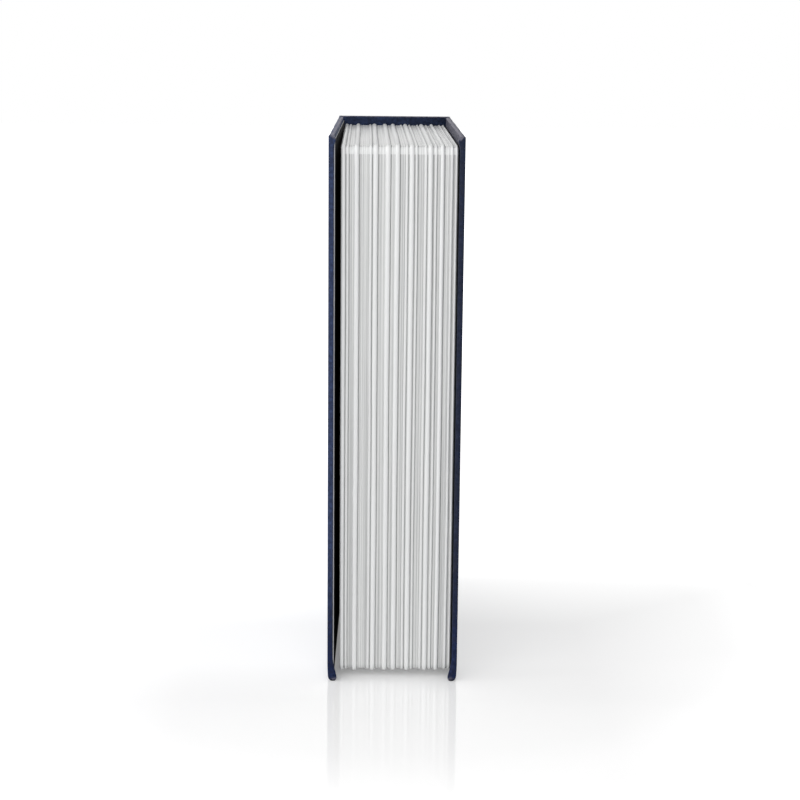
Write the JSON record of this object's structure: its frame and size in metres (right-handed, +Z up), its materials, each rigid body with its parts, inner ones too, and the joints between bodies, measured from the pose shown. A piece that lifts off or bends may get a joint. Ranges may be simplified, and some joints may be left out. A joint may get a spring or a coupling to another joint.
{
  "type": "book diversion safe",
  "caption": "Hardcover book shape with a moulded page block, whose front cover opens on a hinged, key-locked sheet-steel box.",
  "frame": {"origin": "middle of the foot of the standing closed book, on the surface that it stands on", "axes": "+Z up along the book's height, +Y from the fore-edge to the spine, +X from the front cover to the back cover"},
  "size_m": [0.058, 0.155, 0.24],
  "materials": {
    "leatherette": "embossed navy imitation leather, satin",
    "greyboard": "raw grey binder's board",
    "endpaper": "matt black lining paper with a pale cut edge",
    "page_plastic": "glossy moulded white plastic",
    "box_paint": "fine-textured black powder coat on sheet steel",
    "hinge_steel": "zinc-plated steel, satin",
    "lock_chrome": "bright nickel-chrome plate"
  },
  "bodies": {
    "root": {"back_board": "greyboard", "back_endpaper": "endpaper", "spine_board": "greyboard", "case_cloth": "leatherette", "page_block": "page_plastic", "box_body": "box_paint", "latch_keeper": "box_paint", "box_hinge_leaf": "hinge_steel", "hinge_pin": "hinge_steel", "box_rivet_1": "hinge_steel", "box_rivet_2": "hinge_steel", "box_rivet_3": "hinge_steel", "box_rivet_4": "hinge_steel", "box_leaf_rivet_1": "hinge_steel", "box_leaf_rivet_2": "hinge_steel", "box_leaf_rivet_3": "hinge_steel", "box_leaf_rivet_4": "hinge_steel"},
    "front_cover": {"front_board": "greyboard", "front_endpaper": "endpaper", "front_cloth": "leatherette"},
    "lid": {"box_lid": "box_paint", "lid_hinge_leaf": "hinge_steel", "lid_leaf_rivet_1": "hinge_steel", "lid_leaf_rivet_2": "hinge_steel", "lid_leaf_rivet_3": "hinge_steel", "lid_leaf_rivet_4": "hinge_steel", "lock_housing": "lock_chrome", "lock_washer": "hinge_steel", "lock_nut": "hinge_steel"},
    "lock": {"lock_plug": "lock_chrome", "lock_cam": "hinge_steel", "cam_screw": "hinge_steel"}
  },
  "joints": [
    {"name": "front_cover_hinge", "type": "hinge", "parent": "root", "child": "front_cover", "pos_m": [-0.02616, 0.07767, 0.12], "axis": [0, 0, -1], "range_deg": [0, 178]},
    {"name": "lid_hinge", "type": "hinge", "parent": "root", "child": "lid", "pos_m": [-0.02071, 0.06716, 0.1194], "axis": [0, 0, -1], "range_deg": [0, 100]},
    {"name": "lock_turn", "type": "hinge", "parent": "lid", "child": "lock", "pos_m": [-0.012, -0.04248, 0.1194], "axis": [1, 0, 0], "range_deg": [0, 90]}
  ],
  "couplings": [
    {"joint": "lid_hinge", "follows": "front_cover_hinge", "ratio": 0.56}
  ]
}
